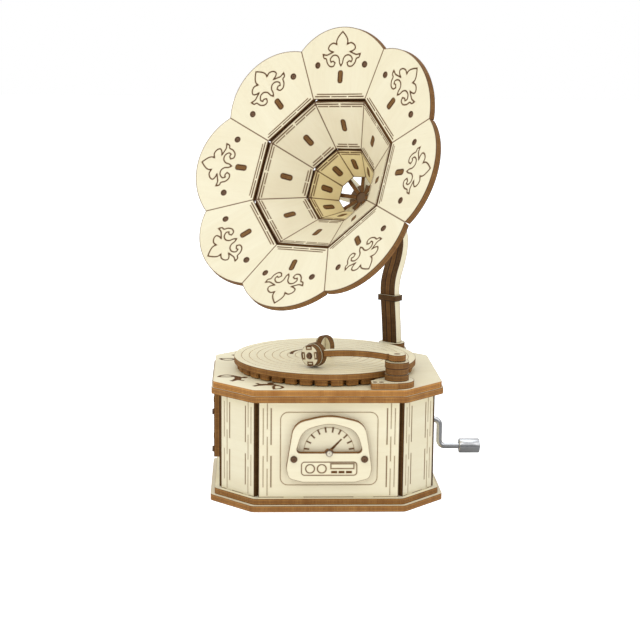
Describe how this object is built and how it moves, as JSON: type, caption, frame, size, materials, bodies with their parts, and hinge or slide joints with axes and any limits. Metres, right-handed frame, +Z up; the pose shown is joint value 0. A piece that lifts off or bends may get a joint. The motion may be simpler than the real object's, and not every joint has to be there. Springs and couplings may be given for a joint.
{
  "type": "wooden gramophone music box",
  "caption": "Plywood kit of a horn gramophone on an eight-sided cabinet, with a turning record, a swinging arm and a hand crank that drives a musical movement.",
  "frame": {"origin": "centre of the lower base plate's underside", "axes": "+Z up, -Y towards the front with the dial, +X towards the crank"},
  "size_m": [0.1282, 0.105, 0.201],
  "materials": {
    "plywood": "bare basswood plywood with browned laser-cut edges",
    "dowel": "browned plywood pegs and plain dowels",
    "zinc": "die-cast, matt",
    "spring_steel": "ground",
    "bright_steel": "bright plated",
    "brass": "turned",
    "nylon": "moulded, satin"
  },
  "bodies": {
    "cabinet": {"base_lower": "plywood", "base_upper": "plywood", "front_panel": "plywood", "back_panel": "plywood", "left_panel": "plywood", "right_panel": "plywood", "corner_front_right": "plywood", "corner_back_right": "plywood", "corner_back_left": "plywood", "corner_front_left": "plywood", "deck_lower": "plywood", "deck_upper": "plywood", "dial_plaque": "plywood", "side_plaque": "plywood", "arm_bracket": "plywood", "arm_discs_stack": "plywood", "foot_disc_lower": "plywood", "foot_disc_upper": "plywood", "neck_left": "plywood", "neck_core": "plywood", "neck_right": "plywood", "neck_collar": "plywood", "hub_disc_front": "plywood", "hub_disc_rear": "plywood", "horn_ribs": "plywood", "inner_panels": "plywood", "middle_panels": "plywood", "petal_1": "plywood", "petal_2": "plywood", "petal_3": "plywood", "petal_4": "plywood", "petal_5": "plywood", "petal_6": "plywood", "petal_7": "plywood", "petal_8": "plywood", "movement_shelf": "plywood", "shelf_legs": "plywood", "plaque_pegs": "dowel", "arm_pin": "dowel", "petal_pegs": "dowel", "movement_bed": "zinc", "comb": "spring_steel", "movement_screws": "spring_steel"},
    "turntable": {"platter": "plywood", "record_disc": "plywood", "spindle_dowel": "dowel", "spindle_washer": "plywood", "knob_half_a": "plywood", "knob_half_b": "plywood"},
    "tonearm": {"tone_arm": "plywood", "sound_box_rear": "plywood", "sound_box_front": "plywood", "sound_box_peg": "dowel"},
    "crank": {"worm_shaft": "spring_steel", "crank_wire": "bright_steel"},
    "cylinder": {"music_cylinder": "brass", "worm_wheel": "nylon"},
    "grip": {"crank_grip": "bright_steel"}
  },
  "joints": [
    {"name": "record_spin", "type": "hinge", "parent": "cabinet", "child": "turntable", "pos_m": [0, 0, 0.0522], "axis": [0, 0, 1], "continuous": true},
    {"name": "tonearm_swing", "type": "hinge", "parent": "cabinet", "child": "tonearm", "pos_m": [0.0285, -0.036, 0.0628], "axis": [0, 0, 1], "range_deg": [-25, 25]},
    {"name": "crank_turn", "type": "hinge", "parent": "cabinet", "child": "crank", "pos_m": [0.0462, 0, 0.0285], "axis": [1, 0, 0], "continuous": true},
    {"name": "cylinder_turn", "type": "hinge", "parent": "cabinet", "child": "cylinder", "pos_m": [0.0202, 0, 0.03613], "axis": [0, 1, 0], "continuous": true},
    {"name": "grip_spin", "type": "hinge", "parent": "crank", "child": "grip", "pos_m": [0.0609, 0, 0.0163], "axis": [1, 0, 0], "continuous": true}
  ],
  "couplings": [
    {"joint": "cylinder_turn", "follows": "crank_turn", "ratio": 0.041667}
  ]
}
